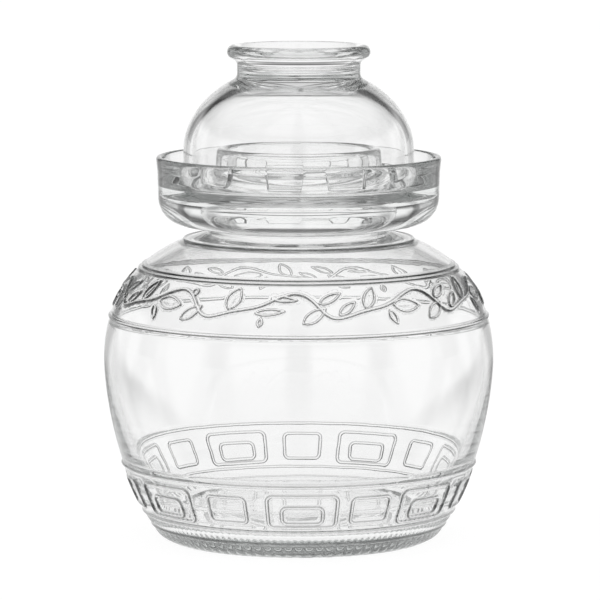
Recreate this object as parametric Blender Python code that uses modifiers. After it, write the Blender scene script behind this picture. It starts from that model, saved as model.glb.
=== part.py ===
"""Glass fermentation crock with a water-seal moat and a domed, notched lid.

Units are metres, +Z is up, and the origin is the middle of the foot on the table.
The crock is two pieces of clear glass: the jar, whose mouth collar stands inside
a water moat, and the lid, whose notched rim stands on the floor of that moat.
"""

import math

import bmesh
import bpy
from mathutils import Matrix, Vector

COLLECTION_NAME = "glass_fermentation_crock"
CUTTER_COLLECTION_NAME = "cutters_and_relief"

# Turning
FACETS = 48                    # flats round each turned piece
OUTLINE_STEPS = 7              # flats along each of the body's two outer curves
LINING_STEPS = 4               # flats along each of its two inner curves
DOME_STEPS = 6                 # flats along each of the lid's two dome curves
BEAD_STEPS = 8                 # flats round the grip's rolled bead
NOTCH_STEPS = 3                # flats along each notch of the lid's rim
FILLET_PER_FLAT = 0.0050       # a fillet gets one more flat for each step of its radius
STRAIGHT = math.radians(89.0)  # half the angle past which a corner counts as straight
FINE_STEPS = 160               # points down each outer curve when a place on it is looked up
MERGE_DISTANCE = 0.00001
SEAT_GAP = 0.0003              # between glass faces that rest on each other

# Body outline, from the table up
FOOT_RADIUS = 0.0805
FOOT_LAND = 0.0065             # width of the flat ring that stands on the table
PUSH_UP = 0.0025               # how far the flat middle of the base is raised
PUSH_UP_SLOPE = 0.0060         # width of the slope up to it
BELLY_RADIUS = 0.1177
BELLY_HEIGHT = 0.1090
FOOT_FLARE = (0.0250, 0.0214)  # pull on the curve at the foot, out and up
BELLY_PULL_DOWN = 0.0267
BELLY_PULL_UP = 0.0533
SHOULDER_RADIUS = 0.0600
SHOULDER_RISE = 0.0747         # from the widest place to the root of the neck
SHOULDER_SWEEP = (0.0178, 0.0045)
NECK_RADIUS = 0.0536
NECK_FILLET = 0.0040
NECK_RISE = 0.0053             # straight neck between the shoulder and the moat

# Body wall
WALL = 0.0043
HEEL_WALL = 0.0119             # the blown wall thickens towards the base
WALL_FALL_OFF = 1.5
FLOOR_THICKNESS = 0.0105
HEEL_FILLET = 0.0100
THROAT_FILLET = 0.0060

# Raised rings round the body, by height
RING_RISE = 0.0008
RING_HALF_WIDTH = 0.0011
RING_MARGIN = 0.0030           # the outline has no other point this close to a ring
VINE_BAND_RISES = (0.0260, 0.0555)  # bottom and top of the vine's band above the widest place
FRAME_BAND_TOP = 0.0459
FRAME_BAND_BOTTOM = 0.0173
HEEL_RING = 0.0091

# Frames of the lower band; the large ones aren't quite evenly spaced, as on the real mould
FRAME_TURNS = (1.2, 48.0, 100.5, 153.1, 204.3, 257.0, 309.6)
FRAME_FILLET_PER_FLAT = 0.0035
LINE_RADIUS = 0.0013           # half-round beads that draw the relief
LINE_BURY = 0.0006             # how far a bead's middle lies under the surface
# Each frame's width as a turn, the heights of its bottom and top, and its corners' radius
LARGE_FRAME = (math.radians(23.2), 0.0208, 0.0404, 0.0036)
INNER_FRAME = (math.radians(13.8), 0.0231, 0.0334, 0.0030)
SMALL_FRAME = (math.radians(13.4), 0.0229, 0.0387, 0.0030)

# Vine of the upper band, drawn by hand in the mould: its waves differ a little in length
VINE_CRESTS = (-1.5, 41.0, 82.0, 121.0, 160.0, 199.5, 238.5, 277.5, 318.5)
VINE_LIFT = 0.0018             # the stem swings about a line this far above the band's middle
VINE_SWING = 0.0087
# The stem over one wave: share of the wave's length, and share of the swing
STEM_KNOTS = (
    (0.0, 1.0), (0.15, 0.35), (0.24, -0.79), (0.32, -1.0), (0.50, -0.48), (0.70, -0.15), (0.87, 0.60))
# Leaves of one wave: degrees after the crest, start above the stem's middle line, slant, length and width
VINE_LEAVES = (
    (3.0, -0.0110, math.radians(36.0), 0.0155, 0.0064),
    (8.2, 0.0014, math.radians(28.0), 0.0146, 0.0050),
    (22.9, -0.0022, math.radians(61.0), 0.0155, 0.0068),
    (32.9, -0.0013, math.radians(-4.0), 0.0175, 0.0080))
LEAF_RISE = 0.0010
LEAF_BURY = 0.0006             # how far a leaf's edge lies under the surface

# Water moat and mouth collar
MOAT_RADIUS = 0.0861           # outside of the rim
MOAT_DRAFT = 0.0018            # the outer wall leans out by this much
MOAT_SWEEP_RADIUS = 0.0205     # round under the bowl
MOAT_LIFT = 0.0020             # rise of the underside from the neck outwards
MOAT_BASE = 0.0224             # glass from the underside to the channel floor
MOAT_DEPTH = 0.0176
MOAT_LIP = 0.0036              # wall at the rim
MOAT_EDGE = 0.0014             # fillet along the rim
MOAT_WALL_TAPER = 0.0060       # what the wall gains down to the floor
CHANNEL_FILLET = 0.0026
BORE_RADIUS = 0.0433
COLLAR_WALL = 0.0060
COLLAR_DRAFT = 0.0017
COLLAR_EDGE = 0.0027           # fillet along its top
COLLAR_ABOVE_RIM = 0.0048
GALLERY_REACH = 0.0100         # hollow under the moat, beyond the throat
GALLERY_ROOF = 0.0058          # glass between that hollow and the channel floor
GALLERY_FILLET = 0.0048

# Lid
LID_SIDE_GAP = 0.0071          # water gap between the lid and the channel wall
LID_WALL = 0.0053
LID_EDGE = 0.0018              # fillet along the rim
LID_SKIRT = 0.0203             # straight side above the rim
LID_RISE = 0.0523              # height of the dome's outer ellipse
LID_CROWN = 0.0040             # glass between the grip's cup and the dome
GRIP_NECK_RADIUS = 0.0371
NECK_FOOT_DEGREES = 5.0        # the dome's outline starts this far below the grip's neck
GRIP_ABOVE_DOME = 0.0115       # grip's rim above the top of the dome's ellipse
GRIP_BEAD_RADIUS = 0.0043
GRIP_BEAD_OVERHANG = 0.0060
BEAD_DEGREES = (150.0, -90.0)  # the bead runs from the cup's wall over its top to the neck
GRIP_FILLET = 0.0030
GRIP_WALL = 0.0050
CUP_DEPTH = 0.0155
CUP_FILLET = 0.0040
NOTCH_HEIGHT = 0.0090
NOTCH_REPEATS = 5
NOTCH_START = math.radians(-36.2)
WIDE_NOTCH = math.radians(21.6)
WIDE_TOOTH = math.radians(17.9)
NARROW_NOTCH = math.radians(12.5)

# Heights that follow from the sizes above
VINE_BAND_BOTTOM = BELLY_HEIGHT + VINE_BAND_RISES[0]
VINE_BAND_TOP = BELLY_HEIGHT + VINE_BAND_RISES[1]
SHOULDER_TOP = BELLY_HEIGHT + SHOULDER_RISE
MOAT_ROOT = SHOULDER_TOP + NECK_RISE
MOAT_UNDERSIDE = MOAT_ROOT + MOAT_LIFT
CHANNEL_FLOOR = MOAT_UNDERSIDE + MOAT_BASE
MOAT_TOP = CHANNEL_FLOOR + MOAT_DEPTH
COLLAR_TOP = MOAT_TOP + COLLAR_ABOVE_RIM
THROAT_RADIUS = NECK_RADIUS - WALL
LID_RIM = CHANNEL_FLOOR + SEAT_GAP
LID_RADIUS = MOAT_RADIUS - MOAT_LIP - MOAT_WALL_TAPER - LID_SIDE_GAP
DOME_BASE = LID_RIM + LID_SKIRT
GRIP_TOP = DOME_BASE + LID_RISE + GRIP_ABOVE_DOME
CUP_FLOOR = GRIP_TOP - CUP_DEPTH

GLASS_COLOUR = (0.90, 0.92, 0.92, 1.0)
GLASS_ROUGHNESS = 0.02
GLASS_IOR = 1.52


def clear_scene():
    """Removes everything that the file opened with."""
    for old in list(bpy.data.objects):
        bpy.data.objects.remove(old, do_unlink=True)


def new_collection(name):
    collection = bpy.data.collections.new(name)
    bpy.context.scene.collection.children.link(collection)
    return collection


def clear_glass(name):
    """Clear pressed or blown soda-lime glass."""
    material = bpy.data.materials.new(name)
    material.use_nodes = True
    shader = material.node_tree.nodes["Principled BSDF"]
    shader.inputs["Base Color"].default_value = GLASS_COLOUR
    shader.inputs["Roughness"].default_value = GLASS_ROUGHNESS
    shader.inputs["IOR"].default_value = GLASS_IOR
    shader.inputs["Metallic"].default_value = 0.0
    shader.inputs["Transmission Weight"].default_value = 1.0
    return material


# Profiles are lists of (radius, height) points

def bezier(start, pull_start, pull_end, end, count):
    """Points along a cubic curve, both ends included."""
    points = []
    for step in range(count + 1):
        t = step / count
        s = 1.0 - t
        weights = (s ** 3, 3 * s * s * t, 3 * s * t * t, t ** 3)
        corners = (start, pull_start, pull_end, end)
        points.append(tuple(sum(w * c[axis] for w, c in zip(weights, corners)) for axis in (0, 1)))
    return points


def arc(centre, radius, start_degrees, end_degrees, count):
    """Points along a circle about a place on the profile, both ends included."""
    points = []
    for step in range(count + 1):
        angle = math.radians(start_degrees + (end_degrees - start_degrees) * step / count)
        points.append((centre[0] + radius * math.cos(angle), centre[1] + radius * math.sin(angle)))
    return points


def rounded(corners):
    """A run of straight sides whose corners, given as (radius, height, fillet), are filleted.

    A fillet takes at most half of the shorter side next to it.
    """
    points = [corners[0][:2]]
    for before, corner, after in zip(corners, corners[1:], corners[2:]):
        here = Vector(corner[:2])
        back = Vector(before[:2]) - here
        forward = Vector(after[:2]) - here
        turn = back.angle(forward) / 2
        if corner[2] <= 0.0 or turn > STRAIGHT:
            points.append(tuple(here))
            continue
        run = min(corner[2] / math.tan(turn), back.length / 2, forward.length / 2)
        middle = here + (back.normalized() + forward.normalized()).normalized() * (run / math.cos(turn))
        first = here + back.normalized() * run - middle
        last = here + forward.normalized() * run - middle
        sweep = first.angle_signed(last)
        count = 1 + int(corner[2] / FILLET_PER_FLAT)
        for step in range(count + 1):
            angle = -sweep * step / count
            spoke = Vector((first.x * math.cos(angle) - first.y * math.sin(angle),
                            first.x * math.sin(angle) + first.y * math.cos(angle)))
            points.append(tuple(middle + spoke))
    points.append(corners[-1][:2])
    return points


def shoulder_curve(count):
    """Outside of the body from the root of the neck down to the widest place."""
    return bezier((SHOULDER_RADIUS, SHOULDER_TOP),
                  (SHOULDER_RADIUS + SHOULDER_SWEEP[0], SHOULDER_TOP - SHOULDER_SWEEP[1]),
                  (BELLY_RADIUS, BELLY_HEIGHT + BELLY_PULL_UP),
                  (BELLY_RADIUS, BELLY_HEIGHT), count)


def belly_curve(count):
    """Outside of the body from the widest place down to the foot."""
    return bezier((BELLY_RADIUS, BELLY_HEIGHT),
                  (BELLY_RADIUS, BELLY_HEIGHT - BELLY_PULL_DOWN),
                  (FOOT_RADIUS + FOOT_FLARE[0], FOOT_FLARE[1]),
                  (FOOT_RADIUS, 0.0), count)


def outside_of_body():
    """A close-set run of points down the outside, to place things on it."""
    return shoulder_curve(FINE_STEPS) + belly_curve(FINE_STEPS)[1:]


def place_on_body(height):
    """The outside's point at a height, and the direction that faces away from the glass there."""
    run = outside_of_body()
    for upper, lower in zip(run, run[1:]):
        if lower[1] <= height <= upper[1]:
            share = (upper[1] - height) / max(upper[1] - lower[1], MERGE_DISTANCE)
            radius = upper[0] + (lower[0] - upper[0]) * share
            along = Vector(lower) - Vector(upper)
            return Vector((radius, height)), Vector((-along.y, along.x)).normalized()
    raise ValueError("height is off the body")


def inner_wall(points):
    """The inside of the body's wall for points of its outside, top to bottom."""
    inside = []
    for before, point, after in zip(points, points[1:], points[2:]):
        along = Vector(after) - Vector(before)
        outward = Vector((-along.y, along.x)).normalized()
        depth = max(0.0, BELLY_HEIGHT - point[1]) / BELLY_HEIGHT
        wall = WALL + (HEEL_WALL - WALL) * depth ** WALL_FALL_OFF
        inside.append(tuple(Vector(point) - outward * wall))
    return inside


def with_rings(points, heights):
    """Adds raised rings to a run of the outside that goes down."""
    runs = [(point[1], [point]) for point in points]
    for height in heights:
        place, outward = place_on_body(height)
        down = Vector((outward.y, -outward.x))
        ring = [tuple(place - down * RING_HALF_WIDTH),
                tuple(place + outward * RING_RISE),
                tuple(place + down * RING_HALF_WIDTH)]
        runs = [run for run in runs if run[0] == points[-1][1] or abs(run[0] - height) > RING_MARGIN]
        runs.append((height, ring))
    runs.sort(key=lambda run: -run[0])
    return [point for _, run in runs for point in run]


def hollow_run():
    """Inside of the jar from the middle of the floor up to the shoulder."""
    outside = shoulder_curve(LINING_STEPS) + belly_curve(LINING_STEPS)[1:]
    floor = PUSH_UP + FLOOR_THICKNESS
    wall = [point for point in reversed(inner_wall(outside)) if point[1] > floor + HEEL_FILLET]
    heel = rounded([(0.0, floor, 0.0), (wall[0][0] - HEEL_FILLET / 2, floor, HEEL_FILLET), (*wall[0], 0.0)])
    return heel[:-1] + wall


def mouth_run(shoulder_inside, shoulder_outside):
    """The throat, the gallery under the moat, the collar, the water channel, the bowl and the neck."""
    gallery_radius = THROAT_RADIUS + GALLERY_REACH
    gallery_roof = CHANNEL_FLOOR - GALLERY_ROOF
    channel_radius = MOAT_RADIUS - MOAT_LIP - MOAT_WALL_TAPER
    collar_radius = BORE_RADIUS + COLLAR_WALL
    return rounded([
        (*shoulder_inside, 0.0),
        (THROAT_RADIUS, SHOULDER_TOP - WALL, THROAT_FILLET),
        (THROAT_RADIUS, MOAT_UNDERSIDE, GALLERY_FILLET / 2),
        (gallery_radius, MOAT_UNDERSIDE + WALL, GALLERY_FILLET),
        (gallery_radius, gallery_roof, GALLERY_FILLET),
        (BORE_RADIUS, gallery_roof + GALLERY_ROOF / 2, GALLERY_FILLET),
        (BORE_RADIUS, COLLAR_TOP, COLLAR_EDGE),
        (collar_radius, COLLAR_TOP, COLLAR_EDGE),
        (collar_radius + COLLAR_DRAFT, CHANNEL_FLOOR, CHANNEL_FILLET),
        (channel_radius, CHANNEL_FLOOR, CHANNEL_FILLET),
        (MOAT_RADIUS - MOAT_LIP, MOAT_TOP, MOAT_EDGE),
        (MOAT_RADIUS, MOAT_TOP, MOAT_EDGE),
        (MOAT_RADIUS - MOAT_DRAFT, MOAT_UNDERSIDE, MOAT_SWEEP_RADIUS),
        (NECK_RADIUS, MOAT_ROOT, 0.0),
        (NECK_RADIUS, SHOULDER_TOP + NECK_FILLET / 2, NECK_FILLET),
        (*shoulder_outside, 0.0)])


def jar_profile():
    """The jar: up the inside, over the mouth and the moat, down the outside, under the foot."""
    outside = shoulder_curve(OUTLINE_STEPS) + belly_curve(OUTLINE_STEPS)[1:]
    rings = (VINE_BAND_TOP, VINE_BAND_BOTTOM, FRAME_BAND_TOP, FRAME_BAND_BOTTOM, HEEL_RING)
    inside = hollow_run()
    mouth = mouth_run(inside[-1], outside[0])
    land = FOOT_RADIUS - FOOT_LAND
    underside = [(land, 0.0), (land - PUSH_UP_SLOPE, PUSH_UP), (0.0, PUSH_UP)]
    return inside[:-1] + mouth[:-1] + with_rings(outside, rings) + underside


def ellipse_run(half_width, rise, start_degrees, end_degrees, count):
    """Points along an ellipse about the middle of the dome's base."""
    points = []
    for step in range(count + 1):
        angle = math.radians(start_degrees + (end_degrees - start_degrees) * step / count)
        points.append((half_width * math.cos(angle), DOME_BASE + rise * math.sin(angle)))
    return points


def lid_profile():
    """The lid: the grip's cup, its bead, the dome's outside, the rim, and the dome's inside."""
    cup_radius = GRIP_NECK_RADIUS - GRIP_WALL
    bead_centre = (GRIP_NECK_RADIUS + GRIP_BEAD_OVERHANG - GRIP_BEAD_RADIUS, GRIP_TOP - GRIP_BEAD_RADIUS)
    cup = rounded([(0.0, CUP_FLOOR, 0.0), (cup_radius, CUP_FLOOR, CUP_FILLET),
                   (cup_radius, bead_centre[1], 0.0)])
    bead = arc(bead_centre, GRIP_BEAD_RADIUS, *BEAD_DEGREES, BEAD_STEPS)
    neck_foot_degrees = math.degrees(math.acos(GRIP_NECK_RADIUS / LID_RADIUS))
    dome_start = neck_foot_degrees - NECK_FOOT_DEGREES
    neck_foot = DOME_BASE + LID_RISE * math.sin(math.radians(neck_foot_degrees))
    dome = ellipse_run(LID_RADIUS, LID_RISE, dome_start, 0.0, DOME_STEPS)
    neck = rounded([(GRIP_NECK_RADIUS, bead[-1][1], 0.0), (GRIP_NECK_RADIUS, neck_foot, GRIP_FILLET),
                    (*dome[0], 0.0)])
    rim = rounded([(*dome[-1], 0.0), (LID_RADIUS, LID_RIM, LID_EDGE),
                   (LID_RADIUS - LID_WALL, LID_RIM, LID_EDGE),
                   (LID_RADIUS - LID_WALL, DOME_BASE, 0.0)])
    crown_rise = CUP_FLOOR - LID_CROWN - DOME_BASE
    hollow = ellipse_run(LID_RADIUS - LID_WALL, crown_rise, 0.0, 90.0, DOME_STEPS)
    hollow[-1] = (0.0, hollow[-1][1])
    return cup[:-1] + bead + neck[1:-1] + dome[:-1] + rim[:-1] + hollow


def turned_piece(name, profile, material, collection):
    """Turns a profile round the axis with a Screw modifier."""
    mesh = bpy.data.meshes.new(name)
    edges = [(index, index + 1) for index in range(len(profile) - 1)]
    mesh.from_pydata([(radius, 0.0, height) for radius, height in profile], edges, [])
    mesh.materials.append(material)
    piece = bpy.data.objects.new(name, mesh)
    collection.objects.link(piece)
    screw = piece.modifiers.new("turn", "SCREW")
    screw.axis = "Z"
    screw.angle = math.tau
    screw.steps = FACETS
    screw.render_steps = FACETS
    screw.use_merge_vertices = True
    screw.merge_threshold = MERGE_DISTANCE
    screw.use_smooth_shade = True
    return piece


def surface_point(turn, height):
    """A place on the body's outside and the outward direction there, in space."""
    place, outward = place_on_body(height)
    around = Vector((math.cos(turn), math.sin(turn), 0.0))
    return around * place.x + Vector((0, 0, place.y)), around * outward.x + Vector((0, 0, outward.y))


def relief_line(name, route, collection):
    """A closed half-round bead along a route of (turn, height) places on the body."""
    curve = bpy.data.curves.new(name, "CURVE")
    curve.dimensions = "3D"
    curve.bevel_depth = LINE_RADIUS
    curve.bevel_resolution = 0
    spline = curve.splines.new("POLY")
    spline.points.add(len(route) - 1)
    for point, (turn, height) in zip(spline.points, route):
        place, outward = surface_point(turn, height)
        point.co = (*(place - outward * LINE_BURY), 1.0)
    spline.use_cyclic_u = True
    source = bpy.data.objects.new(name + "_route", curve)
    collection.objects.link(source)
    solid_mesh = bpy.data.meshes.new_from_object(
        source.evaluated_get(bpy.context.evaluated_depsgraph_get()))
    bpy.data.objects.remove(source, do_unlink=True)
    solid = bpy.data.objects.new(name, solid_mesh)
    collection.objects.link(solid)
    return solid


def frame_route(centre_turn, size):
    """A rounded oblong drawn on the body, as (turn, height) places."""
    width, bottom, top, corner = size
    middle_radius = place_on_body((bottom + top) / 2)[0].x
    half = width * middle_radius / 2
    flat = []
    for sign_x, sign_z, start in ((1, 1, 90.0), (1, -1, 0.0), (-1, -1, -90.0), (-1, 1, -180.0)):
        centre = (sign_x * (half - corner), (top if sign_z > 0 else bottom) - sign_z * corner)
        flat += arc(centre, corner, start, start - 90.0, 1 + int(corner / FRAME_FILLET_PER_FLAT))
        if sign_x * sign_z > 0:
            flat.append((sign_x * half, (bottom + top) / 2))
        else:
            flat.append((0.0, bottom if sign_z < 0 else top))
    return [(centre_turn + across / middle_radius, height) for across, height in flat]


def front_turn(turn):
    """Turns are counted from the front, which faces -Y, to the right."""
    return turn - math.pi / 2


def frame_band(collection):
    """Large frames with a smaller one inside, and a small frame between each two."""
    lines = []
    for degrees, following in zip(FRAME_TURNS, (*FRAME_TURNS[1:], FRAME_TURNS[0] + 360.0)):
        turn = front_turn(math.radians(degrees))
        between = front_turn(math.radians(degrees + following) / 2)
        lines.append(relief_line("large_frame", frame_route(turn, LARGE_FRAME), collection))
        lines.append(relief_line("inner_frame", frame_route(turn, INNER_FRAME), collection))
        lines.append(relief_line("small_frame", frame_route(between, SMALL_FRAME), collection))
    return lines


def vine_middle():
    """Height of the line that the vine's stem swings about."""
    return (VINE_BAND_TOP + VINE_BAND_BOTTOM) / 2 + VINE_LIFT


def vine_waves():
    """The turn at which each wave of the vine starts, and its length."""
    crests = [*VINE_CRESTS, VINE_CRESTS[0] + 360.0]
    return [(front_turn(math.radians(first)), math.radians(last - first))
            for first, last in zip(crests, crests[1:])]


def vine_stem(collection):
    """A wavy stem round the shoulder."""
    route = [(start + length * share, vine_middle() + VINE_SWING * swing)
             for start, length in vine_waves() for share, swing in STEM_KNOTS]
    return relief_line("stem", route, collection)


def vine_leaf(turn, height, slant, length, width, collection):
    """A low leaf that grows from a place on the body, with a ridge across its middle."""
    base, facing = place_on_body(height)
    leaf_mesh = bpy.data.meshes.new("leaf")
    shape = bmesh.new()
    bmesh.ops.create_uvsphere(shape, u_segments=4, v_segments=2, radius=1.0)
    for vertex in shape.verts:
        ahead = (1.0 + vertex.co.x) * length / 2
        aside = vertex.co.y * width / 2
        across = ahead * math.cos(slant) - aside * math.sin(slant)
        up = ahead * math.sin(slant) + aside * math.cos(slant)
        place, outward = surface_point(turn + across / base.x, height + up * facing.x)
        vertex.co = place + outward * (vertex.co.z * (LEAF_RISE + LEAF_BURY) - LEAF_BURY)
    bmesh.ops.recalc_face_normals(shape, faces=shape.faces)
    shape.to_mesh(leaf_mesh)
    shape.free()
    leaf = bpy.data.objects.new("leaf", leaf_mesh)
    collection.objects.link(leaf)
    return leaf


def vine_leaves(collection):
    """The same leaves along each wave of the stem."""
    return [vine_leaf(start + math.radians(after), vine_middle() + above, slant, length, width, collection)
            for start, _ in vine_waves() for after, above, slant, length, width in VINE_LEAVES]


def joined(name, pieces, collection):
    """One hidden object out of several separate closed solids."""
    shape = bmesh.new()
    for piece in pieces:
        shape.from_mesh(piece.data)
        bpy.data.objects.remove(piece, do_unlink=True)
    bmesh.ops.remove_doubles(shape, verts=shape.verts, dist=MERGE_DISTANCE)
    bmesh.ops.recalc_face_normals(shape, faces=shape.faces)
    mesh = bpy.data.meshes.new(name)
    shape.to_mesh(mesh)
    shape.free()
    solid = bpy.data.objects.new(name, mesh)
    solid.hide_render = True
    solid.display_type = "WIRE"
    collection.objects.link(solid)
    return solid


def combine(piece, other, operation):
    boolean = piece.modifiers.new(other.name, "BOOLEAN")
    boolean.operation = operation
    boolean.solver = "EXACT"
    boolean.object = other


def notch_cutter(start, width, collection):
    """A wedge through the lid's rim, as high as a vent notch."""
    wedge = bmesh.new()
    inner, outer = LID_RADIUS - 2 * LID_WALL, LID_RADIUS + LID_WALL
    bottom, top = LID_RIM - LID_WALL, LID_RIM + NOTCH_HEIGHT
    corners = [wedge.verts.new((radius, 0.0, height))
               for radius, height in ((inner, bottom), (outer, bottom), (outer, top), (inner, top))]
    face = wedge.faces.new(corners)
    wedge.transform(Matrix.Rotation(start, 4, "Z"))
    bmesh.ops.spin(wedge, geom=[face], cent=(0, 0, 0), axis=(0, 0, 1), angle=width, steps=NOTCH_STEPS)
    bmesh.ops.remove_doubles(wedge, verts=wedge.verts, dist=MERGE_DISTANCE)
    bmesh.ops.recalc_face_normals(wedge, faces=wedge.faces)
    mesh = bpy.data.meshes.new("notch")
    wedge.to_mesh(mesh)
    wedge.free()
    notch = bpy.data.objects.new("notch", mesh)
    collection.objects.link(notch)
    return notch


def rim_notches(collection):
    """Gas leaves the crock under the lid through a ring of notches."""
    notches = []
    for index in range(NOTCH_REPEATS):
        start = front_turn(NOTCH_START + index * math.tau / NOTCH_REPEATS)
        notches.append(notch_cutter(start, WIDE_NOTCH, collection))
        notches.append(notch_cutter(start + WIDE_NOTCH + WIDE_TOOTH, NARROW_NOTCH, collection))
    return notches


def build():
    clear_scene()
    parts = new_collection(COLLECTION_NAME)
    tools = new_collection(CUTTER_COLLECTION_NAME)

    jar = turned_piece("jar", jar_profile(), clear_glass("jar_glass"), parts)
    combine(jar, joined("lower_band_frames", frame_band(tools), tools), "UNION")
    combine(jar, joined("vine_stem", [vine_stem(tools)], tools), "UNION")
    combine(jar, joined("vine_leaves", vine_leaves(tools), tools), "UNION")

    lid = turned_piece("lid", lid_profile(), clear_glass("lid_glass"), parts)
    combine(lid, joined("rim_notches", rim_notches(tools), tools), "DIFFERENCE")


build()
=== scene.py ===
"""The finished look of the glass fermentation crock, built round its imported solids.

The jar and the lid are spun again at a fine step, with the raised ornament that the
solids only outline, and get clear soda-lime glass. Lengths are in metres, angles in
radians unless a name says degrees, and -Y is the front.
"""

import math

import bmesh
import bpy
import numpy as np
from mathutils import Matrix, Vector


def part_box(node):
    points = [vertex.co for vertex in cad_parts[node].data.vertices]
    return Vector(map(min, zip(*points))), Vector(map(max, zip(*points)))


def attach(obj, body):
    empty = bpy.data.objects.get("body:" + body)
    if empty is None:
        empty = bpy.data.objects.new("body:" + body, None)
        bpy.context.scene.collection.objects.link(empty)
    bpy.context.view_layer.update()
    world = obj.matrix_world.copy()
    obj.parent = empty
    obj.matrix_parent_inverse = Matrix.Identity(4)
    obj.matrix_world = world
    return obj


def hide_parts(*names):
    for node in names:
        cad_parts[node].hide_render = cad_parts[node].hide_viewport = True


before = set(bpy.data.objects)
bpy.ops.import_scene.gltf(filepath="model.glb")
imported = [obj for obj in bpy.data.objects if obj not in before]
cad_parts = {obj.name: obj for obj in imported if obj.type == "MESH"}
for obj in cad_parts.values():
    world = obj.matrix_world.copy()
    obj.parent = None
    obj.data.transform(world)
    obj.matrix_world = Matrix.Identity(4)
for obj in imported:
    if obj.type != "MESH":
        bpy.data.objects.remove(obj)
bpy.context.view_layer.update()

# Sizes read from the frame
JAR_LOW, JAR_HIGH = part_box("jar")
LID_LOW, LID_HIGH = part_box("lid")
BELLY_RADIUS = JAR_HIGH.x
COLLAR_TOP = JAR_HIGH.z
LID_RADIUS = LID_HIGH.x
LID_RIM = LID_LOW.z
GRIP_TOP = LID_HIGH.z

# Outline of the jar's outside
FOOT_RADIUS = 0.0805
FOOT_LAND = 0.0050
PUSH_UP = 0.0025
PUSH_UP_SLOPE = 0.0060
BELLY_HEIGHT = 0.1090
FOOT_FLARE = (0.0250, 0.0214)
BELLY_PULL_DOWN = 0.0267
BELLY_PULL_UP = 0.0533
SHOULDER_RADIUS = 0.0600
SHOULDER_RISE = 0.0747
SHOULDER_TOP = BELLY_HEIGHT + SHOULDER_RISE
SHOULDER_SWEEP = (0.0178, 0.0045)
NECK_RADIUS = 0.0536
NECK_FILLET = 0.0045
NECK_RISE = 0.0053
MOAT_ROOT = SHOULDER_TOP + NECK_RISE

# Walls of the jar
WALL = 0.0043
HEEL_WALL = 0.0119
WALL_FALL_OFF = 1.5
FLOOR_THICKNESS = 0.0105
HEEL_FILLET = 0.0220
HEEL_CLEAR = HEEL_FILLET * 0.8
HEEL_INSET = HEEL_FILLET * 0.25
THROAT_RADIUS = NECK_RADIUS - WALL
THROAT_FILLET = 0.0080

# Moat and collar
MOAT_RADIUS = 0.0860
MOAT_LIP = 0.0036
MOAT_DRAFT = 0.0018
MOAT_SWEEP_RADIUS = 0.0205
MOAT_LIFT = 0.0020
MOAT_UNDERSIDE = MOAT_ROOT + MOAT_LIFT
SEAT_GAP = 0.0003
CHANNEL_FLOOR = LID_RIM - SEAT_GAP
COLLAR_ABOVE_RIM = 0.0048
MOAT_TOP = COLLAR_TOP - COLLAR_ABOVE_RIM
WATER_GAP = 0.0071
CHANNEL_RADIUS = LID_RADIUS + WATER_GAP
CHANNEL_FILLET = 0.0028
BORE_RADIUS = 0.0433
COLLAR_WALL = 0.0060
COLLAR_DRAFT = 0.0017
GALLERY_REACH = 0.0100
GALLERY_RADIUS = THROAT_RADIUS + GALLERY_REACH
CHANNEL_GLASS = 0.0058
GALLERY_ROOF = CHANNEL_FLOOR - CHANNEL_GLASS
GALLERY_ROOF_RISE = 0.0029
GALLERY_FILLET = 0.0048
ROOT_EDGE = 0.0008
# Share of a lip's thickness that its edges are rounded by
LIP_ROUNDING = 0.45

# Raised ornament of the jar
LINE_RISE = 0.0011
LINE_HALF_WIDTH = 0.0012
NECK_RING = 0.1809
VINE_BAND_TOP = 0.1645
VINE_BAND_BOTTOM = 0.1350
FRAME_BAND_TOP = 0.0459
FRAME_BAND_BOTTOM = 0.0173
PARTING_LINE = 0.0310
PARTING_RISE = 0.0003
ROPE_TOP = 0.0091
THIN_RINGS = (VINE_BAND_TOP + 0.0014, VINE_BAND_TOP - 0.0005)
THIN_HALF_WIDTH = 0.0009
THIN_RISE = 0.0007
# Each ring's height, half width and rise
RINGS = (*((level, LINE_HALF_WIDTH, LINE_RISE)
           for level in (NECK_RING, VINE_BAND_BOTTOM, FRAME_BAND_TOP, FRAME_BAND_BOTTOM, ROPE_TOP)),
         *((level, THIN_HALF_WIDTH, THIN_RISE) for level in THIN_RINGS))
# Distances that stand for no line near, in metres and in half widths of a line
FAR = 1.0
PLAIN = 4.0
LEAN_STEP = 0.0003

# Lower band: large frames, at these turns in degrees, with a small one inside and a square between each two
FRAME_TURNS = (1.2, 48.0, 100.5, 153.1, 204.3, 257.0, 309.6)
LARGE_FRAME = {"width": 0.0408, "low": 0.0208, "high": 0.0404, "corner": 0.0036}
INNER_FRAME = {"width": 0.0243, "low": 0.0231, "high": 0.0334, "corner": 0.0034}
SMALL_FRAME = {"width": 0.0236, "low": 0.0229, "high": 0.0387, "corner": 0.0030}

# Upper band: a vine with outlined leaves. Its waves start at these turns, in degrees
VINE_CRESTS = (-1.5, 41.0, 82.0, 121.0, 160.0, 199.5, 238.5, 277.5, 318.5)
VINE_LIFT = 0.0018
VINE_SWING = 0.0087
# Shares of a wave, and the stem's height there as a share of its swing
STEM_KNOTS = ((0.0, 1.0), (0.09, 0.80), (0.16, 0.24), (0.24, -0.79), (0.31, -1.0), (0.40, -0.80),
              (0.50, -0.50), (0.60, -0.33), (0.69, -0.18), (0.77, 0.08), (0.87, 0.60), (0.95, 0.85))
# Degrees over which the stem's bends are smoothed, and the degrees between two places of its table
STEM_SMOOTHING = 2.0
STEM_STEP = 0.5
STEM_RISE = 0.0011
LEAF_RISE = 0.0009
LEAF_LINE = 0.0009
LEAF_BLUNTNESS = 0.8
LEAF_TAPER = 0.85
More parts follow.
